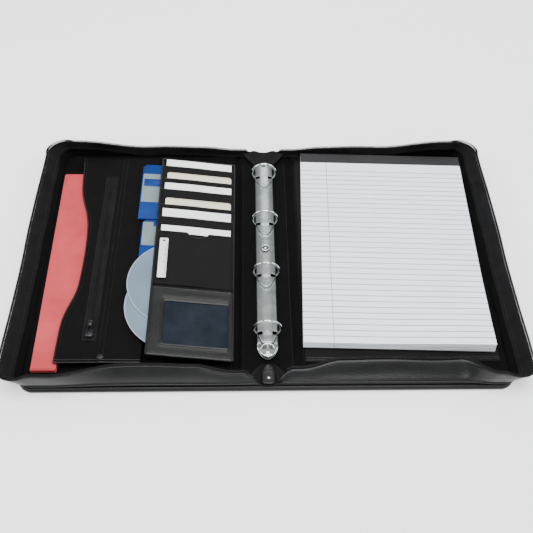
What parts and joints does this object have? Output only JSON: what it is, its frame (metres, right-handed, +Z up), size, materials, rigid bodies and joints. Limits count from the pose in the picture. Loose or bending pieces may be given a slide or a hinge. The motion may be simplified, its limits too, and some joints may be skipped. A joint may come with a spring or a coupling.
{
  "type": "portfolio case",
  "caption": "Zip-round portfolio case opened flat: ring binder spine, writing pad tray, and a tray with document pocket, disc, disk and card organiser.",
  "frame": {"origin": "middle of the case's underside, under the spine, as it lies open on a table", "axes": "+X to the right across the open case, +Y away from the user towards the back edge, +Z up"},
  "size_m": [0.57, 0.3618, 0.0382],
  "materials": {
    "leatherette": "black grained leatherette, satin",
    "lining": "black woven nylon",
    "greyboard": "stiff greyboard",
    "zip_textile": "black zip tape and coil",
    "nickel": "satin nickel plate",
    "chrome": "polished plating",
    "paper": "white ruled paper",
    "binding": "dark grey binding tape",
    "pink_paper": "pink document paper",
    "blue_plastic": "blue moulded plastic",
    "disc_silver": "silver mirrored disc",
    "card": "cream card",
    "clear_film": "clear film over dark lining",
    "white_plastic": "white plastic"
  },
  "bodies": {
    "spine": {"spine_skin": "leatherette", "spine_board": "greyboard", "spine_lining": "lining", "spine_gusset_front": "leatherette", "spine_gusset_back": "leatherette", "zip_slider": "chrome", "ring_plate": "nickel", "centre_rivet": "chrome"},
    "left_cover": {"left_cover_skin": "leatherette", "left_cover_board": "greyboard", "left_cover_lining": "lining", "left_gusset": "leatherette", "left_zip_tape": "zip_textile", "left_zip_coil": "zip_textile", "document_stack": "pink_paper", "document_pocket": "lining", "pocket_zip_tape": "zip_textile", "pocket_snap": "leatherette", "organiser_panel": "lining", "card_panel": "lining", "card_1": "card", "card_2": "card", "label_1": "paper", "label_2": "paper", "label_3": "paper", "label_4": "paper", "id_frame": "leatherette", "id_window": "clear_film"},
    "right_cover": {"right_cover_skin": "leatherette", "right_cover_board": "greyboard", "right_cover_lining": "lining", "right_gusset": "leatherette", "right_zip_tape": "zip_textile", "right_zip_coil": "zip_textile", "slip_pocket": "lining"},
    "left_rings": {"leaf_left": "nickel", "ring_left_1": "chrome", "ring_left_2": "chrome", "ring_left_3": "chrome", "ring_left_4": "chrome"},
    "right_rings": {"leaf_right": "nickel", "ring_right_1": "chrome", "ring_right_2": "chrome", "ring_right_3": "chrome", "ring_right_4": "chrome"},
    "lever": {"ring_lever": "chrome"},
    "main_zip_pull": {"zip_pull": "leatherette"},
    "writing_pad": {"pad_board": "greyboard", "pad_sheets": "paper", "pad_binding": "binding"},
    "pocket_slider": {"pocket_zip_slider": "chrome"},
    "pocket_pull": {"pocket_zip_pull": "chrome"},
    "disk_1": {"disk_1": "blue_plastic"},
    "disk_2": {"disk_2": "blue_plastic"},
    "disc_1": {"disc_1": "disc_silver"},
    "disc_2": {"disc_2": "disc_silver"},
    "ruler": {"small_ruler": "white_plastic"}
  },
  "joints": [
    {"name": "left_cover_fold", "type": "hinge", "parent": "spine", "child": "left_cover", "pos_m": [-0.033, 0, 0.002], "axis": [0, 1, 0], "range_deg": [0, 90]},
    {"name": "right_cover_fold", "type": "hinge", "parent": "spine", "child": "right_cover", "pos_m": [0.033, 0, 0.002], "axis": [0, -1, 0], "range_deg": [0, 90]},
    {"name": "rings_open_right", "type": "hinge", "parent": "spine", "child": "right_rings", "pos_m": [0.0113, 0, 0.0085], "axis": [0, -1, 0], "range_deg": [-16, 0]},
    {"name": "rings_open_left", "type": "hinge", "parent": "spine", "child": "left_rings", "pos_m": [-0.0113, 0, 0.0085], "axis": [0, -1, 0], "range_deg": [0, 16]},
    {"name": "lever_press", "type": "hinge", "parent": "spine", "child": "lever", "pos_m": [0, -0.1265, 0.0115], "axis": [1, 0, 0], "range_deg": [0, 20]},
    {"name": "main_pull_swing", "type": "hinge", "parent": "spine", "child": "main_zip_pull", "pos_m": [0, -0.159, 0.0168], "axis": [-1, 0, 0], "range_deg": [0, 90]},
    {"name": "pad_lift", "type": "slide", "parent": "right_cover", "child": "writing_pad", "axis": [0, 0, -1], "range_m": [-0.12, 0]},
    {"name": "pocket_zip_slide", "type": "slide", "parent": "left_cover", "child": "pocket_slider", "axis": [0, 1, 0], "range_m": [0, 0.21]},
    {"name": "pocket_pull_swing", "type": "hinge", "parent": "pocket_slider", "child": "pocket_pull", "pos_m": [-0.195, -0.115, 0.0183], "axis": [1, 0, 0], "range_deg": [0, 90]},
    {"name": "disk_1_slide", "type": "slide", "parent": "left_cover", "child": "disk_1", "axis": [0.9973, 0, -0.0732], "range_m": [-0.05, 0]},
    {"name": "disk_2_slide", "type": "slide", "parent": "left_cover", "child": "disk_2", "axis": [0.9973, 0, -0.0732], "range_m": [-0.05, 0]},
    {"name": "disc_1_slide", "type": "slide", "parent": "left_cover", "child": "disc_1", "axis": [0.9973, 0, -0.0732], "range_m": [-0.06, 0]},
    {"name": "disc_2_slide", "type": "slide", "parent": "left_cover", "child": "disc_2", "axis": [0.9973, 0, -0.0732], "range_m": [-0.06, 0]},
    {"name": "ruler_slide", "type": "slide", "parent": "left_cover", "child": "ruler", "axis": [0, -1, 0], "range_m": [-0.1, 0]}
  ],
  "couplings": [
    {"joint": "rings_open_left", "follows": "rings_open_right", "ratio": -1},
    {"joint": "lever_press", "follows": "rings_open_right", "ratio": -1.25}
  ]
}
